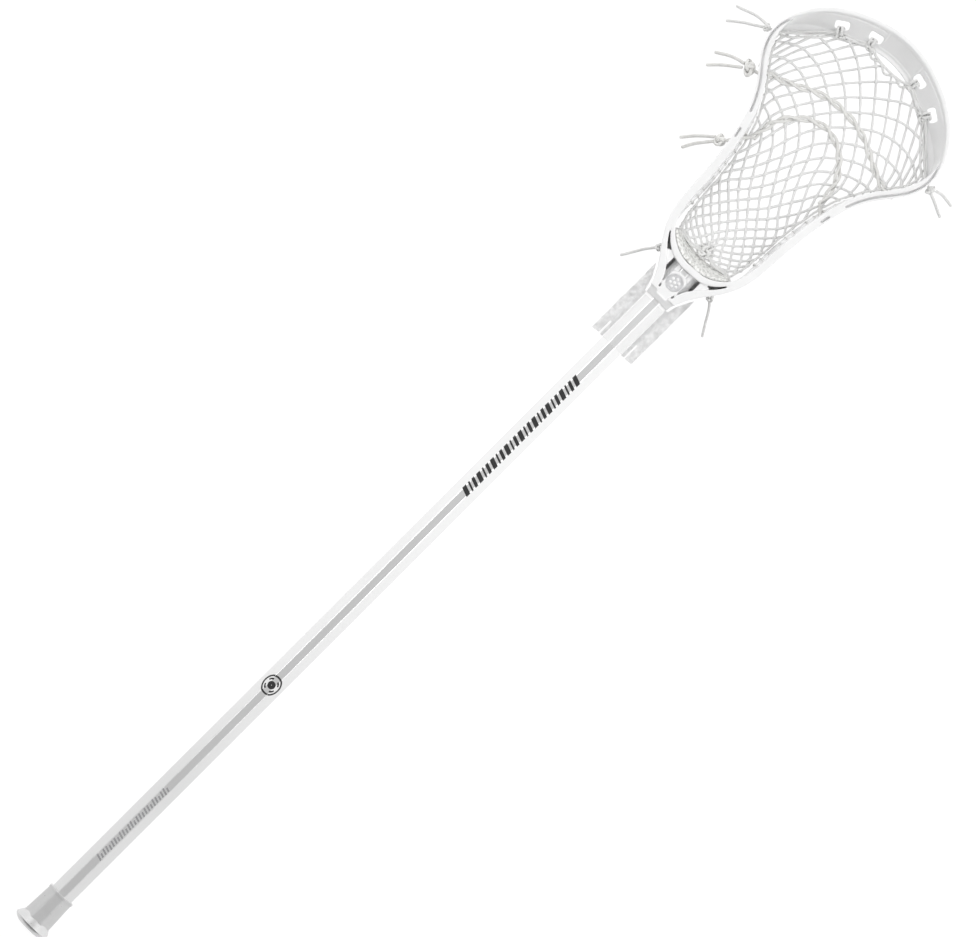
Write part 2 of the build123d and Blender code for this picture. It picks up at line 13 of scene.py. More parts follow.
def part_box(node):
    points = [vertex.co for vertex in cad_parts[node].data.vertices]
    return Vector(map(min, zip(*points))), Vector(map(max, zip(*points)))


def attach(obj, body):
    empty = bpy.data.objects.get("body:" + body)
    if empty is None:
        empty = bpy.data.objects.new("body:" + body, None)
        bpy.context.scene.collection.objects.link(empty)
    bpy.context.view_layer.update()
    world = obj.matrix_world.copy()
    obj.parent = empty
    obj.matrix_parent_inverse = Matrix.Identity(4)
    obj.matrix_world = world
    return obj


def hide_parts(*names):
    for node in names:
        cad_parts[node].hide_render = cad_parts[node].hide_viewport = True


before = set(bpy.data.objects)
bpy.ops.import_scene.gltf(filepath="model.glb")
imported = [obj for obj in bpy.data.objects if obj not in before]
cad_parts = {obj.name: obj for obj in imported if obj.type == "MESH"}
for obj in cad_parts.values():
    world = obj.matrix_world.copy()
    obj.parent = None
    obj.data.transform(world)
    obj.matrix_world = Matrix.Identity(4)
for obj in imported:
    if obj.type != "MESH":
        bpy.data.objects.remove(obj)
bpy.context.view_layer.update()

MM = 0.001
HEAD_REACH = 312.0                                       # from the socket's mouth to the scoop's tip
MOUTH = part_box("head_frame")[1].x - HEAD_REACH * MM      # where the shaft goes into the head
AXIS_Z = 18.0                                            # the shaft's axis above the surface
UP = Vector((0, 0, 1))
BOTH_SIDES = (1, -1)                                     # left and right of the head's centre line


def at(station, y, z):
    """A place on the bench, in millimetres, as a point in the frame."""
    return Vector((MOUTH + station * MM, y * MM, z * MM))


# ---------------------------------------------------------------- camera, floor and light
STICK_TILT = math.radians(44.95)                    # how the stick lies across the picture
VIEW_WIDTH = 0.834                                  # what the picture spans, at VIEW_PLANE_Z
VIEW_PLANE_Z = 0.03
VIEW_CENTRE = (MOUTH - 0.2012, 0.0003)
LENS, SENSOR = 200.0, 36.0

# Area lights, one of each kind on each side of the stick: name, place, target, size and power
LIGHTS = [
    ("key_light", (0.55, 1.0, 1.35), (0.55, 0, 0), (1.8, 0.9), 11.2),
    ("side_panel", (0.5, 0.9, 0.3), (0.5, 0, 0), (1.6, 0.5), 1.3),
]
# Strength of the world along X and away from the XZ plane: from, to, strength at each
WORLD_ALONG = (-0.9, 0.1, 0.12, 1.0)
WORLD_ASIDE = (0.05, 0.9, 0.60, 0.66)
FLOOR_REACH, FLOOR_Z = 4.0, -0.0004
FLOOR_GLOW = 0.86                                   # keeps the paper white beside the object


def make_camera():
    data = bpy.data.cameras.new("camera")
    data.lens = LENS
    data.sensor_width = SENSOR
    camera = bpy.data.objects.new("camera", data)
    camera.location = (*VIEW_CENTRE, VIEW_WIDTH * LENS / SENSOR + VIEW_PLANE_Z)
    camera.rotation_euler = (0, 0, -STICK_TILT)
    bpy.context.scene.collection.objects.link(camera)
    bpy.context.scene.camera = camera


def area_light(name, place, target, size, power):
    data = bpy.data.lights.new(name, "AREA")
    data.shape = "RECTANGLE"
    data.size, data.size_y = size
    data.energy = power
    light = bpy.data.objects.new(name, data)
    light.location = place
    light.rotation_euler = (Vector(target) - Vector(place)).to_track_quat("-Z", "Y").to_euler()
    light.visible_camera = False
    bpy.context.scene.collection.objects.link(light)


def make_world():
    """Soft light that is brightest from both sides of the stick, and dimmer above it and towards the butt."""
    world = bpy.data.worlds.new("studio")
    bpy.context.scene.world = world
    world.use_nodes = True
    place = coordinates(world, "Generated")
    along = map_range(world, place["X"], *WORLD_ALONG)
    aside = map_range(world, math_node(world, "ABSOLUTE", place["Y"]), *WORLD_ASIDE)
    background = world.node_tree.nodes["Background"]
    background.inputs["Color"].default_value = (1, 1, 1, 1)
    world.node_tree.links.new(math_node(world, "MULTIPLY", along, aside), background.inputs["Strength"])


def make_studio():
    bpy.context.scene.view_settings.view_transform = "Standard"
    make_world()
    for side in BOTH_SIDES:
        for name, (x, y, z), target, size, power in LIGHTS:
            area_light(name, (x, y * side, z), target, size, power)
    mesh = bpy.data.meshes.new("floor")
    corners = [(x * FLOOR_REACH, y * FLOOR_REACH, FLOOR_Z) for x, y in ((-1, -1), (1, -1), (1, 1), (-1, 1))]
    mesh.from_pydata(corners, [], [(0, 1, 2, 3)])
    floor = bpy.data.objects.new("floor", mesh)
    bpy.context.scene.collection.objects.link(floor)
    paint, shader = new_material("floor_paper", 0.25, 0.9)
    shader.inputs["Emission Color"].default_value = (1, 1, 1, 1)
    shader.inputs["Emission Strength"].default_value = FLOOR_GLOW
    mesh.materials.append(paint)


# ---------------------------------------------------------------- materials
def tone(value):
    """A colour from a single grey or from red, green and blue."""
    return (*value, 1) if isinstance(value, tuple) else (value, value, value, 1)


def new_material(name, colour, roughness, metallic=0.0):
    made = bpy.data.materials.new(name)
    made.use_nodes = True
    shader = made.node_tree.nodes["Principled BSDF"]
    shader.inputs["Base Color"].default_value = tone(colour)
    shader.inputs["Roughness"].default_value = roughness
    shader.inputs["Metallic"].default_value = metallic
    return made, shader


def coordinates(owner, kind):
    """The parts of one kind of coordinate, in a material or a world."""
    nodes, links = owner.node_tree.nodes, owner.node_tree.links
    parts = nodes.new("ShaderNodeSeparateXYZ")
    links.new(nodes.new("ShaderNodeTexCoord").outputs[kind], parts.inputs[0])
    return parts.outputs


def math_node(owner, operation, first, second=None):
    nodes, links = owner.node_tree.nodes, owner.node_tree.links
    node = nodes.new("ShaderNodeMath")
    node.operation = operation
    for socket, value in zip(node.inputs, (first, second)):
        if isinstance(value, (int, float)):
            socket.default_value = value
        elif value is not None:
            links.new(value, socket)
    return node.outputs[0]


def map_range(owner, source, from_min, from_max, to_min, to_max):
    nodes, links = owner.node_tree.nodes, owner.node_tree.links
    node = nodes.new("ShaderNodeMapRange")
    node.inputs["From Min"].default_value = from_min
    node.inputs["From Max"].default_value = from_max
    node.inputs["To Min"].default_value = to_min
    node.inputs["To Max"].default_value = to_max
    links.new(source, node.inputs["Value"])
    return node.outputs["Result"]


def noise_node(made, scale, detail=4.0, stretch=(1, 1, 1)):
    """Noise over the object's own coordinates, with scale in cells per metre."""
    nodes, links = made.node_tree.nodes, made.node_tree.links
    place = nodes.new("ShaderNodeTexCoord")
    mapping = nodes.new("ShaderNodeMapping")
    mapping.inputs["Scale"].default_value = stretch
    texture = nodes.new("ShaderNodeTexNoise")
    texture.inputs["Scale"].default_value = scale
    texture.inputs["Detail"].default_value = detail
    links.new(place.outputs["Object"], mapping.inputs["Vector"])
    links.new(mapping.outputs["Vector"], texture.inputs["Vector"])
    return texture.outputs["Fac"]


def vary_colour(made, shader, source, dark, light, low=0.35, high=0.65):
    """Colour from dark to light as the source goes from low to high."""
    nodes, links = made.node_tree.nodes, made.node_tree.links
    ramp = nodes.new("ShaderNodeValToRGB")
    for element, position, colour in zip(ramp.color_ramp.elements, (low, high), (dark, light)):
        element.position = position
        element.color = tone(colour)
    links.new(source, ramp.inputs["Fac"])
    links.new(ramp.outputs["Color"], shader.inputs["Base Color"])


def vary_roughness(made, shader, source, low, high):
    made.node_tree.links.new(map_range(made, source, 0, 1, low, high), shader.inputs["Roughness"])


def add_bump(made, shader, source, depth, strength=1.0):
    nodes, links = made.node_tree.nodes, made.node_tree.links
    bump = nodes.new("ShaderNodeBump")
    bump.inputs["Distance"].default_value = depth * MM
    bump.inputs["Strength"].default_value = strength
    links.new(source, bump.inputs["Height"])
    links.new(bump.outputs["Normal"], shader.inputs["Normal"])


def braid_height(made, strands, per_mm):
    """Crossed helices over a tube's own UV: u is the distance along it in millimetres, v its turn."""
    place = coordinates(made, "UV")
    along = math_node(made, "MULTIPLY", place["X"], per_mm * math.tau)
    around = math_node(made, "MULTIPLY", place["Y"], strands * math.tau)
    left = math_node(made, "SINE", math_node(made, "ADD", along, around))
    right = math_node(made, "SINE", math_node(made, "SUBTRACT", along, around))
    return math_node(made, "ABSOLUTE", math_node(made, "MULTIPLY", left, right))


def string_material(name, dark, light, strands, per_mm, depth):
    """Braided string, darker in the grooves of its braid, where shade is painted into its colour; depth is
    theirs in millimetres.
    """
    made, shader = new_material(name, light, 0.7)
    height = braid_height(made, strands, per_mm)
    # painted shade: the colour runs from dark in the braid's grooves to light on its ridges
    vary_colour(made, shader, height, dark, light, 0.0, 0.45)
    add_bump(made, shader, height, depth)
    shader.inputs["Sheen Weight"].default_value = 0.25
    shader.inputs["Sheen Roughness"].default_value = 0.4
    return made


def surface_material(name, colour, roughness, metallic=0.0, colours=None, roughnesses=None, bump=None):
    """A material whose colour, roughness and relief vary with noise.

    colours: scale, detail, stretch, dark, light, low and high; roughnesses: scale, detail, stretch, low and
    high; bump: scale, detail, stretch, depth in millimetres and strength.
    """
    made, shader = new_material(name, colour, roughness, metallic)
    for vary, job in ((vary_colour, colours), (vary_roughness, roughnesses), (add_bump, bump)):
        if job:
            vary(made, shader, noise_node(made, *job[:3]), *job[3:])
    return made, shader


EVEN = (1, 1, 1)                       # noise that isn't stretched
DRAWN = (0.02, 1, 1)                   # noise drawn out along the shaft
DETAIL = 4.0


def make_materials():
    made = {}
    made["plastic"], shader = surface_material(
        "head_plastic", 0.88, 0.36, colours=(45, DETAIL, EVEN, 0.865, 0.90),
        roughnesses=(160, DETAIL, EVEN, 0.30, 0.44), bump=(2600, 2, EVEN, 0.03, 0.5))
    shader.inputs["Subsurface Weight"].default_value = 0.08
    shader.inputs["Subsurface Radius"].default_value = (3 * MM, 3 * MM, 3 * MM)
    made["metal"], _ = surface_material(
        "shaft_metal", 0.88, 0.3, 1.0, colours=(9, 3, (0.5, 1, 1), 0.85, 0.90),
        roughnesses=(2200, 3, DRAWN, 0.24, 0.40), bump=(2200, 3, DRAWN, 0.01, 0.4))
    made["rubber"], _ = surface_material(
        "cap_rubber", 0.70, 0.3, 0.65, colours=(130, DETAIL, EVEN, 0.68, 0.71),
        roughnesses=(300, DETAIL, EVEN, 0.24, 0.36), bump=(1800, 3, EVEN, 0.06, 0.6))
    made["steel"], _ = surface_material(
        "screw_steel", (0.62, 0.62, 0.64), 0.32, 1.0, roughnesses=(900, DETAIL, EVEN, 0.25, 0.42))
    made["badge"], _ = surface_material(
        "badge_plastic", (0.66, 0.66, 0.67), 0.35,
        colours=(300, DETAIL, EVEN, (0.60, 0.60, 0.61), (0.72, 0.72, 0.73)), bump=(2500, 2, EVEN, 0.04, 0.6))
    made["foam"], _ = surface_material(
        "stop_foam", (0.7, 0.7, 0.68), 0.9,
        colours=(420, 4, EVEN, (0.56, 0.56, 0.54), (0.90, 0.90, 0.88), 0.38, 0.58), bump=(1500, 3, EVEN, 0.3))
    # the dark colour of each string is painted shade for the grooves of its braid
    made["net"] = string_material("pocket_cord", (0.69, 0.69, 0.685), (0.85, 0.85, 0.845), 3, 0.55, 0.12)
    made["cord"] = string_material("string_cord", (0.74, 0.74, 0.73), (0.91, 0.91, 0.90), 4, 0.42, 0.2)
    made["lace"] = string_material("shooting_lace", (0.74, 0.735, 0.71), (0.90, 0.895, 0.875), 4, 0.36, 0.22)
    made["film"], shader = surface_material(
        "sleeve_film", 0.84, 0.28,
        colours=(260, 6, EVEN, 0.80, 0.91, 0.42, 0.62), bump=(300, 5, EVEN, 0.4, 0.7))
    shader.inputs["Transmission Weight"].default_value = 0.25
    made["clear_film"], shader = surface_material(
        "sleeve_clear_film", 1.0, 0.12, roughnesses=(200, DETAIL, EVEN, 0.08, 0.2))
    shader.inputs["Alpha"].default_value = 0.07
    made["ink"], _ = surface_material(
        "shaft_ink", (0.012, 0.012, 0.013), 0.4,
        colours=(900, DETAIL, EVEN, (0.008, 0.008, 0.009), (0.025, 0.025, 0.026)),
        roughnesses=(1400, DETAIL, EVEN, 0.32, 0.5))
    made["grey_ink"], _ = surface_material(
        "shaft_grey_ink", (0.30, 0.30, 0.31), 0.45,
        colours=(900, DETAIL, EVEN, (0.26, 0.26, 0.27), (0.38, 0.38, 0.39)))
    return made


# ---------------------------------------------------------------- lines and tubes
def catmull_rom(a, b, c, d, t):
    """Point at t on the curve from b to c, with a before them and d after."""
    return 0.5 * (2 * b + (c - a) * t + (2 * a - 5 * b + 4 * c - d) * t ** 2
                  + (3 * b - a - 3 * c + d) * t ** 3)


def with_ends(points):
    """The points with one more at each end, straight on from the last two."""
    return [2 * points[0] - points[1], *points, 2 * points[-1] - points[-2]]


def smooth_line(points, step=1.0 * MM):
    """A Catmull-Rom line through the points, sampled about every step."""
    ring = with_ends(points)
    line = []
    for a, b, c, d in zip(ring, ring[1:], ring[2:], ring[3:]):
        count = max(2, round((c - b).length / step))
        line += [catmull_rom(a, b, c, d, k / count) for k in range(count)]
    line.append(points[-1].copy())
    return line


END_RINGS = (0.45, 0.85, 1.0)          # where the rings of a rounded end stand, as shares of its reach
END_REACH = 0.8                        # its reach, in radii
END_TIP = 0.02                         # keeps its last ring open for the closing face


def tube(bm, path, radius, sides=10, relief=None, closed=False):
    """Tube round a path; radius is a number or a function of distance, relief of distance and turn."""
    uv = bm.loops.layers.uv.verify()
    marks = [0.0]                        # distance along the path
    for a, b in zip(path, path[1:]):
        marks.append(marks[-1] + (b - a).length)
    total = marks[-1]
    centres = list(path)
    radii = [radius(mark) if callable(radius) else radius for mark in marks]
    if not closed:                       # rounded ends
        for end, beside in ((0, 1), (-1, -2)):
            out = (path[end] - path[beside]).normalized()
            for share in END_RINGS:
                centre = path[end] + out * radii[end] * share * END_REACH
                size = radii[end] * math.sqrt(max(1 - share ** 2, END_TIP))
                place = 0 if end == 0 else len(centres)
                centres.insert(place, centre)
                radii.insert(place, size)
                marks.insert(place, 0.0 if end == 0 else total)
    count = len(centres)
    normal = None
    rings = []
    for k in range(count):
        before = centres[(k - 1) % count] if closed else centres[max(k - 1, 0)]
        after = centres[(k + 1) % count] if closed else centres[min(k + 1, count - 1)]
        tangent = (after - before).normalized()
        if normal is None:
            start = UP if abs(tangent.z) < 0.9 else Vector((0, 1, 0))
            normal = (start - tangent * start.dot(tangent)).normalized()
        else:
            normal = (normal - tangent * normal.dot(tangent)).normalized()
        side = tangent.cross(normal)
        ring = []
        for j in range(sides):
            turn = j / sides
            size = radii[k] * (1 + (relief(marks[k], turn) if relief else 0))
            ring.append(bm.verts.new(centres[k] + size * (normal * math.cos(math.tau * turn)
                                                          + side * math.sin(math.tau * turn))))
        rings.append(ring)
    pairs = list(zip(range(count), range(1, count)))
    if closed:
        pairs.append((count - 1, 0))
    for a, b in pairs:
        end_mark = marks[b] if b else marks[a] + (centres[0] - centres[a]).length
        for j in range(sides):
            k = (j + 1) % sides
            face = bm.faces.new((rings[a][j], rings[a][k], rings[b][k], rings[b][j]))
            face.smooth = True
            corners = ((marks[a], j), (marks[a], j + 1), (end_mark, j + 1), (end_mark, j))
            for loop, (mark, turn) in zip(face.loops, corners):
                loop[uv].uv = (mark / MM, turn / sides)
    if not closed:
        for ring, order in ((rings[0], -1), (rings[-1], 1)):
            face = bm.faces.new(ring[::order])
            face.smooth = True


BRAID_MEAN = 0.3                       # the ridges' mean height, taken off so that a cord keeps its radius


def braid(strands, per_mm, depth):
    """Relief of a braided cord, as a share of its radius."""
    def relief(distance, turn):
        along = math.tau * per_mm * distance / MM
        around = math.tau * strands * turn
        return depth * (abs(math.sin(along + around) * math.sin(along - around)) - BRAID_MEAN)
    return relief


def cord(bm, places, radius, sides, relief, step=0.8):
    """A length of cord through the places; radius and step in millimetres."""
    tube(bm, smooth_line(places, step * MM), radius * MM, sides, relief)


def finish_piece(name, bm, made, replaced=()):
    """Makes an object of bm, on the body stick, in place of the CAD nodes in replaced."""
    bmesh.ops.recalc_face_normals(bm, faces=bm.faces)
    mesh = bpy.data.meshes.new(name)
    bm.to_mesh(mesh)
    bm.free()
    mesh.materials.append(made)
    piece = bpy.data.objects.new(name, mesh)
    bpy.context.scene.collection.objects.link(piece)
    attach(piece, "stick")
    if replaced:
        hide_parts(*replaced)
    return piece


# ---------------------------------------------------------------- free ends of the strings
LACE, CORD = 3.0 * MM, 2.6 * MM          # diameters
RIDGE = 1.15                             # how far the braid's ridges reach, in radii
SEAL_LOSS, SEAL_REACH = 0.08, 1.5        # the cut end is sealed, and thinner by this share over this length

# Points of the route's NURBS spline, from where the string leaves the head to its cut end, and its length
TAILS = {
    "bottom_string_tail_left": (
        [(35.5, 31.5, 21), (29, 37.5, 16), (20, 43, 7.5), (9.4, 49.5, 1.4)],
        0.0375),
    "bottom_string_tail_right": (
        [(35.5, -31.5, 21), (29, -37.5, 15), (20, -42.5, 7), (9.4, -49.5, 1.4)],
        0.0375),
    "u_shooter_tail_a": (
        [(133, 62.5, 21), (127.5, 67.5, 15), (120.5, 73.5, 6.5), (112, 78, 1.6)],
        0.033),
    "u_shooter_tail_b": (
        [(137, 64, 22), (131, 71.5, 16), (124.5, 79, 6.5), (117, 85, 1.6)],
        0.0357),
    "straight_shooter_tail_a": (
        [(195, 90, 22), (190, 97.5, 16), (184, 106, 7), (177, 113, 1.6)],
        0.0358),
    "straight_shooter_tail_b": (
        [(199, 91, 22), (198, 99, 15), (194.5, 108, 6.5), (190, 115.5, 1.6)],
        0.0335),
    "top_string_tail_left_a": (
        [(232.5, 101, 25), (227.5, 110, 18), (222.5, 119.5, 8), (216, 128, 1.4)],
        0.0396),
    "top_string_tail_left_b": (
        [(236, 101.5, 25), (236.5, 111.5, 18), (233.5, 121.5, 7.5), (231, 130.5, 1.4)],
        0.0381),
    "top_string_tail_right_a": (
        [(233, -101, 25), (231.5, -107, 17), (229, -114, 8), (226.5, -121, 1.4)],
        0.0317),
    "top_string_tail_right_b": (
        [(237, -101, 25), (240, -107, 17), (240.5, -114, 8), (240, -121, 1.4)],
        0.0314),
}


def nurbs_line(name, points):
    """The points that the route's NURBS spline runs through."""
    data = bpy.data.curves.new(name, "CURVE")
    data.dimensions = "3D"
    data.resolution_u = 24
    spline = data.splines.new("NURBS")
    spline.points.add(len(points) - 1)
    for point, place in zip(spline.points, points):
        point.co = (*at(*place), 1)
    spline.order_u = 3
    spline.use_endpoint_u = True
    route = bpy.data.objects.new(name, data)
    mesh = bpy.data.meshes.new_from_object(route)
    line = [vertex.co.copy() for vertex in mesh.vertices]
    bpy.data.meshes.remove(mesh)
    bpy.data.objects.remove(route)
    bpy.data.curves.remove(data)
    return line


def make_tails(made):
    for name, (points, length) in TAILS.items():
        lace = "shooter" in name
        diameter = LACE if lace else CORD
        line = nurbs_line(name + "_route", points)
        lowest = 0.5 * diameter * RIDGE
        path = [Vector((point.x, point.y, max(point.z, lowest))) for point in smooth_line(line, 0.45 * MM)]
        bm = bmesh.new()

        def radius(distance, full=diameter / 2, end=length):
            left = max(end - distance, 0)
            return full * (1 - SEAL_LOSS * math.exp(-(left / (SEAL_REACH * MM)) ** 2))

        tube(bm, path, radius, 14, braid(3, 0.30, 0.22))
        piece = finish_piece(name + "_cord", bm, made["lace" if lace else "cord"],
                             replaced=[name])
        [tuple(point) for point in line]


# ---------------------------------------------------------------- outline of the head
# Half of the outer top edge, station and y, from the socket's mouth to the scoop's tip
HEAD_EDGE = [(2, 13.0), (17, 18.0), (36, 30.5), (51, 40.3), (68, 46.6), (92, 49.5), (122, 51.8), (156, 57),
             (177, 62.8), (197, 74), (213, 86.5), (228, 93.8), (245, 94.8), (264, 88), (282, 74.8),
             (295, 58.2), (306, 34), (HEAD_REACH, 0)]


def blend(x, start, end):
    """0 before start, 1 after end, and a smooth step between them."""
    t = min(max((x - start) / (end - start), 0), 1)
    return t * t * (3 - 2 * t)


def table(x, pairs):
    """Straight between given values: pairs of place and value."""
    if x <= pairs[0][0]:
        return pairs[0][1]
    for (a, low), (b, high) in zip(pairs, pairs[1:]):
        if x <= b:
            return low + (high - low) * (x - a) / (b - a)
    return pairs[-1][1]


WALL_TOP = 40.0                          # height of the head's top edge
FOOT = 6                                 # how far the wall's foot stands inside its top edge,
FOOT_FLARE, FOOT_SCOOP = 4, 26           # less this at the flare, and plus this in the scoop
RAIL_WIDTH = 6.0                         # of the bottom rail,
RAIL_RISE, RAIL_NARROWING = 13, 1.5      # which rises and narrows by these in the scoop


def lean(x, height=0.0):
    """How far the sidewall stands inside its top edge at a height."""
    foot = FOOT - FOOT_FLARE * blend(x, 140, 195) + FOOT_SCOOP * blend(x, 236, 300)
    return foot * (WALL_TOP - height) / WALL_TOP


def rail_inset(x):
    """From the head's outer edge to the inner face of its bottom rail."""
    return lean(x, RAIL_RISE * blend(x, 240, 300)) + RAIL_WIDTH - RAIL_NARROWING * blend(x, 250, 300)


def inset_edge(inset):
    """The half outline moved inwards by inset(station), as smooth points from the mouth to the tip."""
    moved = []
    for i, (x, y) in enumerate(HEAD_EDGE):
        before = Vector(HEAD_EDGE[max(i - 1, 0)])
        after = Vector(HEAD_EDGE[min(i + 1, len(HEAD_EDGE) - 1)])
        run = (after - before).normalized()
        side = Vector((run.y, -run.x)) if x < HEAD_REACH else Vector((-1, 0))
        moved.append((Vector((x, y)) + side * inset(x)).to_3d())
    return smooth_line(moved, 1.0)


def edge_y(x, line):
    """Distance of a half line from the centre line at station x."""
    for a, b in zip(line, line[1:]):
        if a.x <= x <= b.x:
            return a.y + (b.y - a.y) * (x - a.x) / max(b.x - a.x, 1e-6)
    return 0.0


STRING_GAP = 2.2                         # from the rail's inner face to the string along it
OUTER = inset_edge(lambda x: 0)
STRING_LINE = inset_edge(lambda x: rail_inset(x) + STRING_GAP)
FIRST_STATION = 62                       # STRING_LINE gives the net's width from here on,
LAST_BUNCHED, LAST_SAGGING = 238, 240    # as far as these, for its bunching and for its sag

# Where the net ends at the top string, from the left rail to the head's centre line
TOP_STRING = [(241, 85.0), (250, 74.0), (260.5, 62.5), (269, 55.5), (275, 50), (279.5, 37), (283.5, 25),
              (281, 12), (280, 0)]
NET_START = 57.5                         # where the net begins, at the ball stop


def top_limit(y):
    """Station of the top string at a distance from the centre line."""
    y = abs(y)
    for (a, b), (c, d) in zip(TOP_STRING, TOP_STRING[1:]):
        if d <= y <= b:
            return a + (c - a) * (b - y) / (b - d)
    return TOP_STRING[0][0]


# ---------------------------------------------------------------- mesh pocket
# By station: half a cell's width, a row's height, and how the rows bow towards the throat, per square of y
NET_ACROSS = [(57, 3.3), (68, 3.9), (80, 4.6), (100, 5.4), (120, 5.9), (140, 5.6), (165, 5.4), (180, 6.2),
              (200, 7.8), (215, 8.6), (230, 9.0), (260, 9.2)]
NET_ALONG = [(57, 3.6), (70, 4.6), (80, 5.3), (90, 6.0), (105, 6.7), (120, 7.3), (140, 9.5), (155, 11.6),
             (170, 12.2), (185, 11.5), (200, 10.5), (215, 9.6), (230, 9.2), (260, 9.0)]
NET_BOW = [(80, 0.0), (120, 0.0015), (165, 0.004), (200, 0.0055), (230, 0.0065), (260, 0.0075), (290, 0.0085)]
NET_END = 330                            # the rows go on to here and are cut at the top string
COLUMNS = 14                             # on each side of the centre line
NET_RADIUS = 1.08
NET_FLOOR, NET_RIM = 3.6, 12.4           # heights of its middle and of its edge
SAG_REACH = 27                           # from the edge to the flat middle
FLARE_RISE = 1.6                         # the net lies higher towards the scoop
GATHER, GATHER_REACH = 0.82, 15          # how much the net is gathered at the throat, and how far aside
BUNCH_FROM, BUNCH = 0.8, 0.72            # bunched along the rails, from this share of the width, by this
SWAY = 0.9                               # the largest shift of a cell
CROSSING = 0.55                          # half the rise between two cords that cross
KNOT_SWELL, KNOT_REACH = 0.42, 1.25      # cords are thicker at crossings: share of the radius, and how far
CORD_STEP = 1.15
CORD_STEPS_MIN = 4                       # between two crossings
SHORTEST_RUN = 5                         # of points that is left out


def net_rows():
    rows = [NET_START - 4]
    while rows[-1] < NET_END:
        rows.append(rows[-1] + table(rows[-1], NET_ALONG))
    return rows


def net_node(rows, i, j):
    """Station and y of the crossing in row i and column j, as a flat point."""
    x = rows[i]
    y = j * table(x, NET_ACROSS)
    y *= 1 - GATHER * blend(-x, -92, -60) * math.exp(-(y / GATHER_REACH) ** 2)
    x -= table(x, NET_BOW) * y * y
    bunched = BUNCH_FROM * edge_y(min(max(x, FIRST_STATION), LAST_BUNCHED), STRING_LINE)
    over = abs(y) - bunched
    if over > 0:
        y = math.copysign(bunched + over * BUNCH, y)
    sway_x = noise.noise(Vector((x / 23, y / 23, 3.7)))
    sway_y = noise.noise(Vector((x / 21, y / 21, 9.1)))
    return Vector((x + SWAY * sway_x, y + SWAY * sway_y, 0))


def net_height(x, y):
    """The pocket sags from its edges to a flat middle."""
    side = edge_y(min(max(x, FIRST_STATION), LAST_SAGGING), STRING_LINE) - abs(y)
    near = min(side, 1.1 * (x - NET_START + 1), 0.9 * (top_limit(y) - x))
    return NET_RIM + (NET_FLOOR - NET_RIM) * blend(near, -2, SAG_REACH) + FLARE_RISE * blend(x, 225, 270)


def inside_net(x, y):
    """Whether a place is between the ball stop, the top string and the strings along the rails."""
    if x < NET_START + 0.004 * y * y or x > top_limit(y) - 0.5:
        return False
    return x > 236 or abs(y) < edge_y(max(x, FIRST_STATION), STRING_LINE) - 0.2


def small_ring(bm, centre, across, radius, thickness, sides=7, steps=12):
    """A tight loop of cord round a string that runs along across."""
    across = across.normalized()
    out = UP.cross(across).normalized()
    path = []
    for k in range(steps):
        turn = math.tau * k / steps
        ring_place = radius * (out * math.cos(turn) + UP * math.sin(turn))
        path.append(centre + ring_place + across * 0.25 * radius * math.sin(turn))
    tube(bm, path, thickness, sides, closed=True)


def net_cord(bm, run, knots, relief):
    """A cord through the points of run, thicker at its knots, with a ring round the string at each end."""
    if len(run) <= SHORTEST_RUN:
        return

    def radius(distance):
        swell = max([math.exp(-((distance / MM - knot) / KNOT_REACH) ** 2) for knot in knots], default=0)
        return MM * NET_RADIUS * (1 + KNOT_SWELL * swell)

    tube(bm, run, radius, 8, relief)
    for end, beside in ((run[0], run[1]), (run[-1], run[-2])):
        away = (end - beside).normalized()
        across = Vector((-away.y, away.x, 0))
        small_ring(bm, end + away * 0.9 * MM, across + 0.15 * away, 1.55 * MM, 0.62 * MM)


def net_line(bm, nodes, points, lean_way, relief):
    """The cords along one slanted line of the net: it's cut into runs wherever it leaves the pocket."""
    run, knots, length = [], [], 0.0
    ring = with_ends(points)
    for (i, _), a, b, c, d in zip(nodes, ring, ring[1:], ring[2:], ring[3:]):
        count = max(CORD_STEPS_MIN, round((c - b).length / CORD_STEP))
        for k in range(count):
            t = k / count
            flat = catmull_rom(a, b, c, d, t)
            if not inside_net(flat.x, flat.y):
                net_cord(bm, run, knots, relief)
                run, knots, length = [], [], 0.0
                continue
            over = lean_way * (1 if i % 2 == 0 else -1) * math.cos(math.pi * t)
            place = at(flat.x, flat.y, net_height(flat.x, flat.y) + CROSSING * over)
            if run:
                length += (place - run[-1]).length / MM
            run.append(place)
            if k == 0:
                knots.append(length)
            elif k == count - 1:
                knots.append(length + (c - b).length / count)
    net_cord(bm, run, knots, relief)


def make_net(made):
    bm = bmesh.new()
    rows = net_rows()
    last = len(rows) - 1
    relief = braid(2, 0.4, 0.16)
    for lean_way in (1, -1):
        for start in range(-COLUMNS - last, COLUMNS + last + 1):
            if start % 2:
                continue
            nodes = [(i, lean_way * (start + i)) for i in range(last + 1) if abs(start + i) <= COLUMNS]
            if len(nodes) >= 2:
                net_line(bm, nodes, [net_node(rows, i, j) for i, j in nodes], lean_way, relief)
    finish_piece("pocket_net", bm, made["net"], replaced=["mesh_pocket"])


# ---------------------------------------------------------------- strings round the pocket
def superellipse(centre, first, second, first_half, second_half, steps=28, power=0.62, slide=None):
    """A closed rounded loop in the plane of two directions; slide shifts it along a third, once round."""
    path = []
    for k in range(steps):
        turn = math.tau * k / steps
        c, s = math.cos(turn), math.sin(turn)
        out = first * first_half * math.copysign(abs(c) ** power, c)
        rise = second * second_half * math.copysign(abs(s) ** power, s)
        point = centre + out + rise
        if slide:
            point += slide * math.sin(turn)
        path.append(point)
    return path


def mirrored(half):
    """The half line from the left to the centre line, and on to the right."""
    return half + [(x, -y, z) for x, y, z in reversed(half[:-1])]


# Stations where the sidewall string is looped round the bottom rail
RAIL_LOOPS = [83, 90, 98, 111, 118, 126, 139, 147, 154, 167, 174, 181, 192, 199, 215, 222]
RAIL_MIDDLE = 9                          # height of the bottom rail's middle


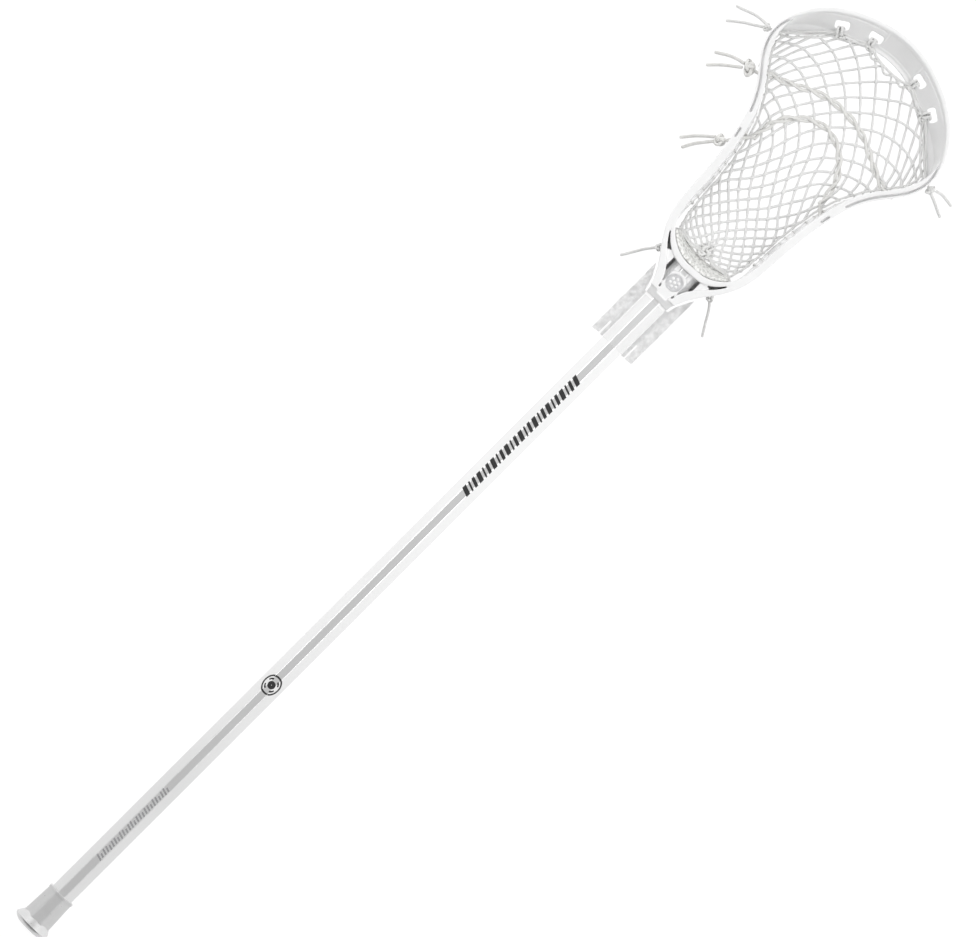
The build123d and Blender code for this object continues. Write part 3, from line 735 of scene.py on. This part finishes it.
def rail_loop(station, side, stand_off, high_half, slide):
    """A loop of string round the bottom rail, across it, that goes through the sidewall's window."""
    edge = [point for point in OUTER if abs(point.x - station) < 4]
    along = (edge[-1] - edge[0]).normalized()
    inward = Vector((along.y, -along.x, 0))
    skin, inner = lean(station, RAIL_MIDDLE), rail_inset(station)
    middle = Vector((station, edge_y(station, OUTER), 0)) + inward * (skin + inner) / 2
    centre = at(middle.x, side * middle.y, RAIL_MIDDLE)
    across = Vector((inward.x, side * inward.y, 0))
    run = Vector((along.x, side * along.y, 0))
    half = (inner - skin) / 2 + stand_off
    return superellipse(centre, across, UP, half * MM, high_half * MM, slide=run * slide * MM)


def make_sidewall_strings(made):
    for word, side in (("left", 1), ("right", -1)):
        bm = bmesh.new()
        places = []
        for x in range(60, 244, 9):
            y = edge_y(x, STRING_LINE) + 0.3 * math.sin(x * 1.7)        # it wanders a little
            places.append(at(x, side * y, 13.2 + 0.5 * math.sin(x * 0.9)))
        cord(bm, places, 1.05, 10, braid(3, 0.35, 0.18))
        for station in RAIL_LOOPS:
            loop = rail_loop(station, side, stand_off=-0.3, high_half=5.0, slide=0.8)
            tube(bm, loop, 0.75 * MM, 9, braid(3, 0.35, 0.16), closed=True)
        finish_piece(word + "_sidewall_lacing", bm, made["cord"],
                     replaced=[word + "_sidewall_string"])


def knot_line(centre, along, across, long_half, wide_half, high_half, steps=90, twist=0.0):
    """A trefoil, stretched to a box: the line of a tightened overhand knot."""
    path = []
    for k in range(steps):
        t = math.tau * k / steps
        a = (2 + math.cos(3 * t)) * math.cos(2 * t + twist) / 3
        b = (2 + math.cos(3 * t)) * math.sin(2 * t + twist) / 3
        flat = along * long_half * a + across * wide_half * b
        path.append(centre + flat + UP * high_half * math.sin(3 * t))
    return path


# Top string: its outer and its inner line from the left rail to the centre line, and a short third line
TOP_OUTER = [(241, 87.5, 15.5), (250, 77, 15.2), (261, 65.2, 15), (276.2, 51.8, 17), (281.5, 38.5, 15.2),
             (286.2, 25.6, 17.5), (283.4, 13, 15.3), (282.6, 0, 15)]
TOP_INNER = [(239, 86.0, 13.6), (245, 77, 15.2), (252.5, 70.5, 13.2), (258.5, 63.5, 15.4),
             (266.2, 57.5, 13.4), (275.4, 50.4, 17.6), (275.2, 43.5, 13.2), (280.2, 35.5, 15.6),
             (285, 24.6, 17.8), (280.2, 17.5, 13.2), (282.6, 8.5, 15.8), (278.6, 0, 13.4)]
TOP_DOUBLE = [(244, 84.5, 12.6), (254, 74.5, 16.4), (266, 62.8, 17.8), (275.6, 53.4, 15.6)]
TOP_EXIT = [(240, 86.5, 14.8), (238.6, 90.5, 20), (236.6, 93.6, 23.5), (234.4, 97.8, 26.6)]
SCOOP_HOLES = [(294.2, 26.5, 14), (281.5, 54.5, 33)]          # station, y and direction in degrees
HOLE_TURNS = ((-1.9, 1.3), (0.2, -1.0), (2.2, 0.9))           # loops in a hole: shift and slide
HOLE_INSET = 4.6                         # from a hole to the middle of its loops, and from there to its knot


def make_top_string(made):
    bm = bmesh.new()
    relief = braid(3, 0.35, 0.2)
    for half, radius in ((TOP_OUTER, 1.15), (TOP_INNER, 1.05)):
        cord(bm, [at(*place) for place in mirrored(half)], radius, 11, relief)
    for side in BOTH_SIDES:
        cord(bm, [at(x, side * y, z) for x, y, z in TOP_DOUBLE], 0.95, 10, relief)
    for x, y, turn in SCOOP_HOLES:
        for side in BOTH_SIDES:
            angle = math.radians(turn)
            radial = Vector((math.cos(angle), side * math.sin(angle), 0))
            tangent = Vector((-radial.y, radial.x, 0))
            centre = at(x, side * y, 15.6) - radial * HOLE_INSET * MM
            for shift, slide in HOLE_TURNS:
                loop = superellipse(centre + tangent * shift * MM, radial, UP, 3.4 * MM, 5.2 * MM,
                                    slide=tangent * slide * MM, power=0.72)
                tube(bm, loop, 1.1 * MM, 9, relief, closed=True)
            knot = knot_line(centre - radial * HOLE_INSET * MM, tangent, radial, 4.2 * MM, 2.6 * MM, 2.2 * MM,
                             twist=0.7 * side)
            tube(bm, knot, 1.05 * MM, 9, relief, closed=True)
    for side in BOTH_SIDES:              # through the sidewalls, to the outer knots
        cord(bm, [at(x, side * y, z) for x, y, z in TOP_EXIT], 1.1, 10, relief)
    finish_piece("top_string_lacing", bm, made["cord"], replaced=["top_string"])


BOTTOM_HALF = [(57.5, 33.5, 14.5), (60.8, 26, 12.6), (59.2, 13, 11.6), (61.5, 4.5, 12.8)]
BOTTOM_EXIT = (36.2, 31.0, 21.2)         # where it comes out through the left sidewall
GATHERED_ENDS = ((-1.05, 8.5), (-0.35, 9.5), (0.3, 9.0), (0.95, 8.0))     # direction and reach


def make_bottom_string(made):
    bm = bmesh.new()
    relief = braid(3, 0.35, 0.2)
    x_way, y_way = Vector((1, 0, 0)), Vector((0, 1, 0))
    for lift, lag in ((0, 0), (1.9, -1.6)):
        half = [(x + lag, y, z + lift) for x, y, z in BOTTOM_HALF]
        whole = half + [(x + 0.8, -y, z) for x, y, z in reversed(half)]
        cord(bm, [at(*place) for place in whole], 1.05, 10, relief)
    knot = knot_line(at(61.6, 0.6, 13.4), x_way, y_way, 5.2 * MM, 4.4 * MM, 2.6 * MM)
    tube(bm, knot, 1.35 * MM, 9, relief, closed=True)
    x, y, z = BOTTOM_EXIT
    for side in BOTH_SIDES:
        knot = knot_line(at(x, side * y, z), x_way, y_way, 3.0 * MM, 2.6 * MM, 2.4 * MM)
        tube(bm, knot, 1.05 * MM, 9, relief, closed=True)
    for turn, reach in GATHERED_ENDS:
        away = Vector((math.cos(turn), math.sin(turn), 0))
        line = [at(61, 0, z) + away * out * MM for z, out in ((13.8, 2), (14.8, 5), (12.4, reach))]
        cord(bm, line, 0.95, 9, relief)
    finish_piece("bottom_string_lacing", bm, made["cord"], replaced=["bottom_string"])


LACE_RADIUS, LACE_WEAVE = 1.45, 33.0     # in millimetres; two laces change places twice in a weave
LACE_STEP = 0.7
LACE_BRAID = braid(3, 0.28, 0.2)


def lace_pair(bm, places, radius, weave):
    """Two laces that run through the net together and change places as they go."""
    line = smooth_line(places, LACE_STEP * MM)
    distance = 0.0
    paths = ([], [])
    for k, place in enumerate(line):
        ahead = line[min(k + 1, len(line) - 1)]
        behind = line[max(k - 1, 0)]
        distance += (place - behind).length
        side = UP.cross((ahead - behind).normalized()).normalized()
        turn = math.tau * distance / weave
        for sign, path in zip((1, -1), paths):
            aside = side * sign * radius * 1.25 * math.cos(turn)
            path.append(place + aside + UP * (sign * 1.1 * radius * math.sin(turn)))
    for path in paths:
        tube(bm, path, radius * 0.93, 12, LACE_BRAID)


# Shooting laces: piece, node, half of the line through the net, and the way out through the left sidewall
SHOOTERS = [
    ("straight_shooting_lace", "straight_shooting_string",
     [(208, 69), (212.5, 58), (219.5, 44), (226.5, 30), (230.8, 15), (232, 0)],
     [(207, 72.5, 15.5), (202.5, 75.6, 19), (200.2, 80.5, 23)]),
    ("u_shooting_lace", "u_shooting_string",
     [(160.5, 40.6), (171, 39.4), (184, 36.4), (196, 29), (206, 16.5), (211, 0)],
     [(156, 44.6, 15), (149, 50.5, 19), (141.5, 54.8, 22.5)]),
]
LACE_LIFT, EXIT_LIFT = 0.8, 1.2          # above the net, and where a lace leaves it


def make_shooters(made):
    for name, node, half, way_out in SHOOTERS:
        bm = bmesh.new()
        woven = mirrored([(x, y, 0) for x, y in half])
        places = [at(x, y, net_height(x, y) + LACE_LIFT) for x, y, _ in woven]
        lace_pair(bm, places, LACE_RADIUS * MM, LACE_WEAVE * MM)
        for side in BOTH_SIDES:
            x, y = half[0]
            out = [at(x, side * y, net_height(x, y) + EXIT_LIFT)]
            out += [at(x, side * y, z) for x, y, z in (way_out if side > 0 else way_out[:2])]
            cord(bm, out, 1.4, 12, LACE_BRAID, LACE_STEP)
            loop = rail_loop(way_out[0][0], side, stand_off=-0.4, high_half=5.5, slide=0.8)
            tube(bm, loop, 1.1 * MM, 11, LACE_BRAID, closed=True)
        finish_piece(name, bm, made["lace"], replaced=[node])


# Outer knots: node, centre, half sizes along the rail, outwards and up, string radius, turn of the rail
KNOTS = [
    ("u_shooter_knot", (137.5, 58.8, 25), (5.4, 4.4, 3.6), 1.45, 12, "lace"),
    ("straight_shooter_knot", (199, 84.8, 25), (7.6, 4.4, 3.6), 1.5, 38, "lace"),
    ("left_top_string_knot", (234, 98.6, 27), (3.6, 2.7, 2.2), 1.15, 12, "cord"),
    ("right_top_string_knot", (234.5, -98.6, 27), (4.6, 2.6, 2.2), 1.15, -12, "cord"),
]


def make_knots(made):
    relief = braid(3, 0.3, 0.18)
    for name, place, halves, radius, turn, kind in KNOTS:
        angle = math.radians(turn)
        along = Vector((math.cos(angle), math.sin(angle), 0))
        across = Vector((-along.y, along.x, 0))
        bm = bmesh.new()
        inner_halves = [(half - radius * 0.4) * MM for half in halves]
        line = knot_line(at(*place), along, across, *inner_halves, 120, 0.5)
        tube(bm, line, radius * MM, 12, relief, closed=True)
        _, wide_half, high_half = halves
        band = superellipse(at(*place), across, UP, wide_half * MM * 0.72, high_half * MM * 0.95, 30, 0.85,
                            along * 0.9 * MM)
        tube(bm, band, radius * MM, 12, relief, closed=True)
        finish_piece(name + "_tied", bm, made[kind],
                     replaced=[name])


# ---------------------------------------------------------------- head, pad, sleeve, badge
def node_mesh(node):
    """A bmesh copy of a CAD node's mesh."""
    bm = bmesh.new()
    bm.from_mesh(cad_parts[node].data)
    return bm


def remeshed(node, name, voxel, rounds, keep, made):
    """A moulded copy of a CAD node: edges rounded over, faces even, and the share keep of them left."""
    piece = finish_piece(name, node_mesh(node), made, replaced=[node])
    remesh = piece.modifiers.new("remesh", "REMESH")
    remesh.mode = "VOXEL"
    remesh.voxel_size = voxel
    remesh.use_smooth_shade = True
    soften = piece.modifiers.new("soften", "SMOOTH")
    soften.factor = 0.5
    soften.iterations = rounds
    thin = piece.modifiers.new("thin", "DECIMATE")
    thin.ratio = keep
    graph = bpy.context.evaluated_depsgraph_get()
    mesh = bpy.data.meshes.new_from_object(piece.evaluated_get(graph))
    piece.modifiers.clear()
    piece.data = mesh
    for face in mesh.polygons:
        face.use_smooth = True
    return piece


def make_head(made):
    remeshed("head_frame", "head_moulding", 0.6 * MM, 4, 0.35, made["plastic"])


def make_pad(made):
    pad = remeshed("ball_stop_pad", "ball_stop_foam", 0.7 * MM, 8, 0.7, made["foam"])


FILM_CELL = 1.6                       # size of the film's cells
WRAP_HALF = 11.7                      # the clear film round the shaft, across
HELD, FREE = 12.2, 17                 # the film is held as far aside as the first, and free from the second


def crinkle(x, y):
    """Shift of the free film at x and y, all in millimetres."""
    wave = 1.5 * noise.noise(Vector((x / 11, y / 7, 0.3))) + 0.6 * noise.noise(Vector((x / 4, y / 3.5, 5.2)))
    return Vector((1.3 * noise.noise(Vector((x / 9, y / 6, 2.2))),
                   0.5 * noise.noise(Vector((x / 8, y / 9, 7.7))), wave))


def make_sleeve(made):
    """Thin film, sliced into a fine grid and crinkled where it isn't held by the shaft."""
    bm = node_mesh("neck_sleeve")
    low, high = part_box("neck_sleeve")
    step = FILM_CELL * MM
    for axis in (0, 1):
        normal = Vector((0, 0, 0))
        normal[axis] = 1
        for k in range(1, int((high[axis] - low[axis]) / step) + 1):
            place = low.copy()
            place[axis] += k * step
            bmesh.ops.bisect_plane(bm, geom=bm.verts[:] + bm.edges[:] + bm.faces[:], plane_co=place,
                                   plane_no=normal, dist=1e-7)
    for vertex in bm.verts:
        x, y = vertex.co.x / MM, vertex.co.y / MM
        vertex.co += blend(abs(y), HELD, FREE) * MM * crinkle(x, y)
    for face in bm.faces:
        face.smooth = False
        face.material_index = 1 if abs(face.calc_center_median().y) < WRAP_HALF * MM else 0
    film = finish_piece("neck_film", bm, made["film"], replaced=["neck_sleeve"])
    film.data.materials.append(made["clear_film"])


STUD_RING, STUD_RADIUS, STUD_HEIGHT = 3.9, 1.35, 0.7
STUD_DEPTH = 0.75                     # of a stud's middle below the badge's top


def make_badge_studs(made):
    """Plain raised studs in the throat badge, one in the middle and six round it."""
    bm = bmesh.new()
    low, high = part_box("throat_badge")
    middle = (low + high) / 2
    middle.z = high.z - STUD_DEPTH * MM
    places = [middle]
    for k in range(6):
        turn = math.tau * k / 6
        places.append(middle + STUD_RING * MM * Vector((math.cos(turn), math.sin(turn), 0)))
    for place in places:
        shape = Matrix.Diagonal((STUD_RADIUS * MM, STUD_RADIUS * MM, STUD_HEIGHT * MM, 1))
        bmesh.ops.create_icosphere(bm, subdivisions=3, radius=1, matrix=Matrix.Translation(place) @ shape)
    for face in bm.faces:
        face.smooth = True
    finish_piece("badge_studs", bm, made["plastic"])


# ---------------------------------------------------------------- print on the shaft, in millimetres
# The shaft's octagon: from its axis to a flat, half a flat's width, and the radius of its edges
SHAFT_HALF, SHAFT_FLAT, SHAFT_EDGE = 11.0, 3.45, 1.2
PRINT_LIFT = 0.06                        # of the print above the metal
BARS_START, BAR_COUNT, BAR_GAP = -230.0, 25, 2.4
BAR_WIDTHS = (4.4, 1.8, 3.2)
BAR_REACH, BAR_SLANT = 4.4, 0.35
RING_STATION = -463
OUTER_RING, INNER_DISC, ARCS = (8.0, 9.6), (0.4, 3.6), (5.0, 6.6)     # inner and outer radius
TICKS_START, TICK_COUNT, TICK_PITCH, TICK_WIDTH = -672, 26, 3.3, 1.6
TICK_SLANT = 0.3


def shaft_skin(station, s):
    """Point on the shaft's skin, s round from the middle of its upper flat, just clear of the metal."""
    side = 1 if s >= 0 else -1
    s = abs(s)
    tangent = SHAFT_EDGE * math.tan(math.radians(22.5))
    flat = SHAFT_FLAT - tangent
    arc = SHAFT_EDGE * math.pi / 4
    if s <= flat:
        y, z, tilt = s, SHAFT_HALF, 0.0
    elif s <= flat + arc:
        tilt = (s - flat) / SHAFT_EDGE
        y = flat + SHAFT_EDGE * math.sin(tilt)
        z = SHAFT_HALF - SHAFT_EDGE * (1 - math.cos(tilt))
    else:
        tilt = math.pi / 4
        run = s - flat - arc
        y = flat + SHAFT_EDGE * math.sin(tilt) + run * math.cos(tilt)
        z = SHAFT_HALF - SHAFT_EDGE * (1 - math.cos(tilt)) - run * math.sin(tilt)
    y += PRINT_LIFT * math.sin(tilt)
    z += PRINT_LIFT * math.cos(tilt)
    return at(station, side * y, AXIS_Z + z)


def print_patch(bm, place, across, along):
    """A patch of print: place(u, v) gives station and s for u and v from 0 to 1, across is v's steps."""
    grid = []
    for a in range(along + 1):
        grid.append([bm.verts.new(shaft_skin(*place(a / along, b / across))) for b in range(across + 1)])
    for row, after in zip(grid, grid[1:]):
        for b in range(across):
            bm.faces.new((row[b], row[b + 1], after[b + 1], after[b]))


def bar(start, end, low, high, slant):
    """A bar along the shaft from start to end, round it from low to high."""
    def place(u, v):
        s = low + (high - low) * v
        return start + (end - start) * u + slant * s, s
    return place


def ring(station, inner, outer, first=0.0, turns=1.0):
    """A ring wrapped on the shaft, or the part of it from first on, both in turns."""
    def place(u, v):
        turn = math.tau * (first + turns * u)
        radius = inner + (outer - inner) * v
        return station + radius * math.cos(turn), radius * math.sin(turn)
    return place


def print_piece(name, bm, made):
    """Joins the patches where they meet and makes them one piece."""
    bmesh.ops.remove_doubles(bm, verts=bm.verts, dist=0.01 * MM)
    finish_piece(name, bm, made)


def make_print(made):
    bm = bmesh.new()
    start = BARS_START
    for k in range(BAR_COUNT):
        end = start + BAR_WIDTHS[k % 3]
        print_patch(bm, bar(start, end, -BAR_REACH, BAR_REACH, BAR_SLANT), 22, 2)
        start = end + BAR_GAP
    print_piece("shaft_bars", bm, made["ink"])
    bm = bmesh.new()
    print_patch(bm, ring(RING_STATION, *OUTER_RING), 4, 72)
    print_patch(bm, ring(RING_STATION, *INNER_DISC), 6, 48)
    for k in range(4):                   # four short arcs between them
        print_patch(bm, ring(RING_STATION, *ARCS, 0.0625 + k / 4, 0.125), 4, 12)
    print_piece("shaft_ring", bm, made["ink"])
    bm = bmesh.new()
    for k in range(TICK_COUNT):
        start = TICKS_START + TICK_PITCH * k
        reach = 2.6 if k % 4 else 3.1
        top = reach * (0.4 if k % 3 == 1 else 1)
        print_patch(bm, bar(start, start + TICK_WIDTH, -reach, top, TICK_SLANT), 8, 2)
    print_piece("shaft_grey_marks", bm, made["grey_ink"])


def dress_nodes(made):
    for node, kind in (("shaft", "metal"), ("end_cap", "rubber"), ("throat_badge", "badge"),
                       ("head_screw", "steel")):
        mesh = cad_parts[node].data
        mesh.materials.clear()
        mesh.materials.append(made[kind])


make_camera()
make_studio()
materials = make_materials()
for make in (make_tails, make_net, make_sidewall_strings, make_top_string, make_bottom_string, make_shooters,
             make_knots, make_head, make_pad, make_sleeve, make_badge_studs, make_print, dress_nodes):
    make(materials)
